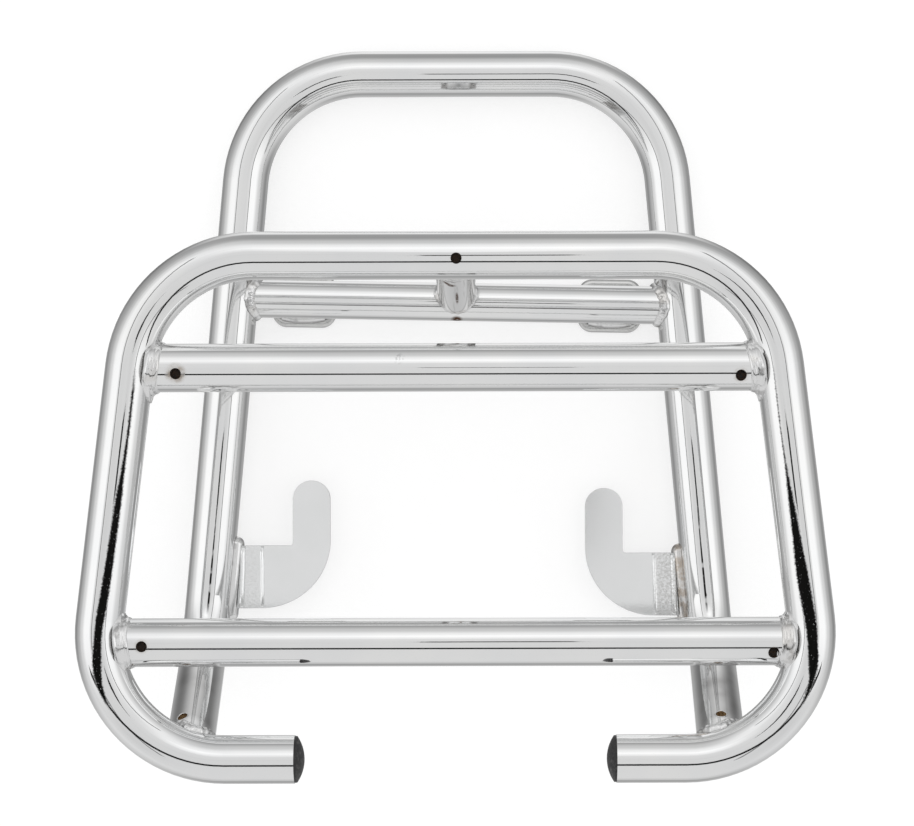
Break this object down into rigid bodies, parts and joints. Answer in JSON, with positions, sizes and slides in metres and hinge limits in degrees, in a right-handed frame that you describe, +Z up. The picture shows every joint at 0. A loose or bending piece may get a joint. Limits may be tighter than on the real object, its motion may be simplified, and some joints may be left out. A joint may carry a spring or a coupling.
{
  "type": "motorcycle luggage rack",
  "caption": "Bent-tube luggage rack: a flared open carrier bed welded over a longer support loop with hooks and flat mount plates.",
  "frame": {"origin": "middle of the footprint, on the plane that the support loop and the mount plates lie on", "axes": "+X to the rack's right in the picture, +Y from the open arms to the nose of the support loop, +Z up to the carrier bed"},
  "size_m": [0.3456, 0.3472, 0.1041],
  "materials": {
    "plated_tube": "bright plated tube",
    "plate_steel": "plated plate, a little dull",
    "hook_steel": "satin plated sheet",
    "plug_plastic": "grained black",
    "weld_bead": "rippled plated bead"
  },
  "bodies": {
    "root": {"carrier_loop": "plated_tube", "upper_crossbar": "plated_tube", "lower_crossbar": "plated_tube", "support_loop": "plated_tube", "support_crossbar": "plated_tube", "centre_stub": "plated_tube", "mount_plate_left": "plate_steel", "mount_plate_right": "plate_steel", "hook_left": "hook_steel", "hook_right": "hook_steel", "end_plug_left": "plug_plastic", "end_plug_right": "plug_plastic", "upper_crossbar_weld_left": "weld_bead", "upper_crossbar_weld_right": "weld_bead", "lower_crossbar_weld_left": "weld_bead", "lower_crossbar_weld_right": "weld_bead", "support_crossbar_weld_left": "weld_bead", "support_crossbar_weld_right": "weld_bead", "stub_weld_top": "weld_bead", "stub_weld_foot": "weld_bead", "leg_weld_left": "weld_bead", "leg_weld_right": "weld_bead", "hook_weld_left": "weld_bead", "hook_weld_right": "weld_bead", "mount_plate_weld_left": "weld_bead", "mount_plate_weld_right": "weld_bead"}
  },
  "joints": []
}
